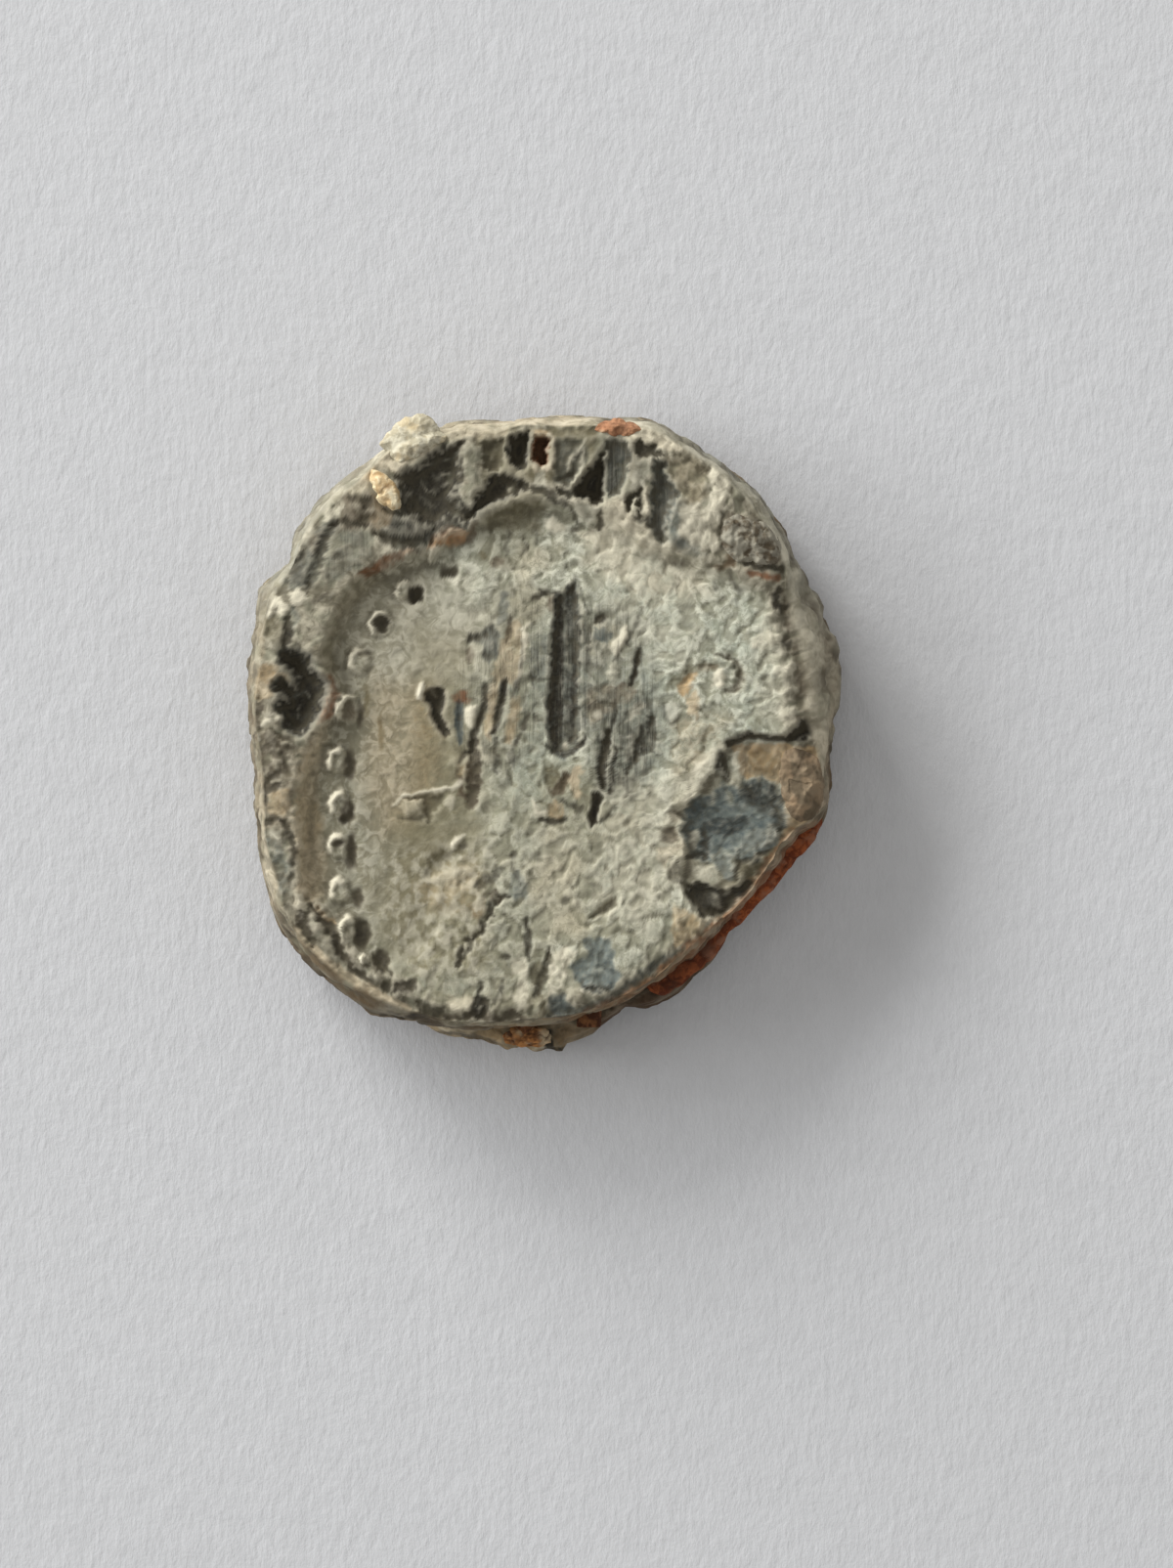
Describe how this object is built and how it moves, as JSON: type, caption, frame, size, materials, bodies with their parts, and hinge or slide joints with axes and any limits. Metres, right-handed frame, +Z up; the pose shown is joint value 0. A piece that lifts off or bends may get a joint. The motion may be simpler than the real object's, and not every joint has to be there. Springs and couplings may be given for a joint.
{
  "type": "lead seal",
  "caption": "Struck lead seal of two pressed leaves over a tie, with a raised rim, a ring of beads and a worn, crusted face.",
  "frame": {"origin": "on the flat that the seal lies on, under the middle of its outline", "axes": "+Z up out of the struck face, +Y from the foot of the seal to its head along the tie, +X to the right of someone reading the face"},
  "size_m": [0.0229, 0.0246, 0.0053],
  "materials": {
    "lead_patina": "matt, grey-green white-lead patina",
    "lead_dark": "matt, brown-grey corroded lead",
    "rusted_iron": "matt, pitted rust over iron",
    "rust": "matt, crumbly orange rust",
    "pale_crust": "matt, cream mineral crust",
    "tan_earth": "matt, packed brown earth",
    "dark_crust": "matt, granular dark crust"
  },
  "bodies": {
    "root": {"front_leaf": "lead_patina", "back_leaf": "lead_dark", "tie_wire_left": "rusted_iron", "tie_wire_right": "rusted_iron", "rust_seam": "rust", "rust_head": "rust", "rust_foot": "rust", "cream_crust": "pale_crust", "tan_flake": "tan_earth", "brown_earth": "tan_earth", "dark_scab": "dark_crust"}
  },
  "joints": []
}
